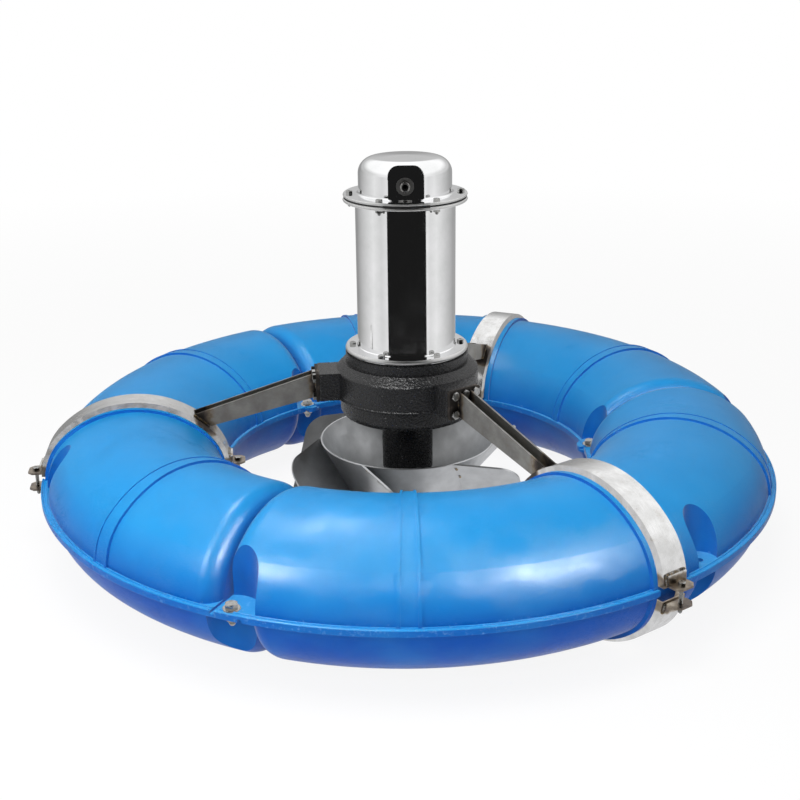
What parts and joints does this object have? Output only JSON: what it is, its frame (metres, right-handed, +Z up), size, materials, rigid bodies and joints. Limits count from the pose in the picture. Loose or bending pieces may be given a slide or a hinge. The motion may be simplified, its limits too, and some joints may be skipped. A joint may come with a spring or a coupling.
{
  "type": "pond aerator",
  "caption": "Floating surface aerator: a motor and gear case hang in a ring of moulded floats and turn a bladed bowl wheel.",
  "frame": {"origin": "on the motor axis, in the parting plane of the floats, in the middle of the three mooring holes", "axes": "+Z up along the motor axis; -Y towards the viewer of the picture; the cable gland faces -Y"},
  "size_m": [1.2211, 1.1998, 0.633],
  "materials": {
    "float_plastic": "satin moulded polyethylene",
    "clamp_steel": "polished stainless strip",
    "arm_steel": "mill finish stainless with weld tint",
    "fastener_steel": "bright stainless",
    "case_iron": "black painted rough casting",
    "black_rubber": "matt",
    "motor_steel": "mirror polished stainless",
    "gland_metal": "turned",
    "shield_aluminium": "cast and machined",
    "bearing_steel": "ground and oiled",
    "core_steel": "stacked laminations",
    "winding_copper": "varnished wire",
    "wheel_steel": "satin stainless sheet"
  },
  "bodies": {
    "aerator": {"float_1": "float_plastic", "float_2": "float_plastic", "float_3": "float_plastic", "clamp_upper_1": "clamp_steel", "clamp_upper_2": "clamp_steel", "clamp_upper_3": "clamp_steel", "clamp_lower_1": "clamp_steel", "clamp_lower_2": "clamp_steel", "clamp_lower_3": "clamp_steel", "arm_1": "arm_steel", "arm_2": "arm_steel", "arm_3": "arm_steel", "clamp_bolts": "fastener_steel", "clamp_nuts": "fastener_steel", "float_bolts": "fastener_steel", "float_nuts": "fastener_steel", "arm_bolts": "fastener_steel", "gear_case": "case_iron", "gear_case_base": "case_iron", "case_gasket": "black_rubber", "case_bolts": "fastener_steel", "base_gasket": "black_rubber", "motor_base_flange": "motor_steel", "motor_tube": "motor_steel", "tube_top_flange": "motor_steel", "cap_gasket": "black_rubber", "cap": "motor_steel", "cap_bolts": "fastener_steel", "cap_nuts": "fastener_steel", "base_bolts": "fastener_steel", "gland_body": "gland_metal", "gland_nut": "gland_metal", "gland_seal": "black_rubber", "lower_end_shield": "shield_aluminium", "motor_lower_bearing": "bearing_steel", "upper_end_shield": "shield_aluminium", "motor_upper_bearing": "bearing_steel", "stator_core": "core_steel", "stator_windings": "winding_copper", "motor_seal": "black_rubber", "counter_lower_bearing": "bearing_steel", "counter_upper_bearing": "bearing_steel", "output_lower_bearing": "bearing_steel", "output_upper_bearing": "bearing_steel", "output_seal": "black_rubber"},
    "water_wheel": {"output_gear": "bearing_steel", "output_shaft": "bearing_steel", "wheel_bowl": "wheel_steel", "wheel_hub": "wheel_steel", "wheel_nut": "wheel_steel", "wheel_blade_1": "wheel_steel", "wheel_blade_2": "wheel_steel", "wheel_blade_3": "wheel_steel", "wheel_blade_4": "wheel_steel", "wheel_blade_5": "wheel_steel", "wheel_blade_6": "wheel_steel"},
    "countershaft": {"counter_gear": "bearing_steel", "counter_shaft": "bearing_steel"},
    "rotor": {"rotor": "core_steel", "motor_shaft": "bearing_steel"}
  },
  "joints": [
    {"name": "wheel_spin", "type": "hinge", "parent": "aerator", "child": "water_wheel", "pos_m": [0, 0, 0], "axis": [0, 0, 1], "continuous": true},
    {"name": "countershaft_spin", "type": "hinge", "parent": "aerator", "child": "countershaft", "pos_m": [0.02153, 0.04952, 0.154], "axis": [0, 0, 1], "continuous": true},
    {"name": "rotor_spin", "type": "hinge", "parent": "aerator", "child": "rotor", "pos_m": [0, 0, 0.272], "axis": [0, 0, 1], "continuous": true}
  ],
  "couplings": [
    {"joint": "countershaft_spin", "follows": "wheel_spin", "ratio": -3.5},
    {"joint": "rotor_spin", "follows": "wheel_spin", "ratio": 13.682}
  ]
}
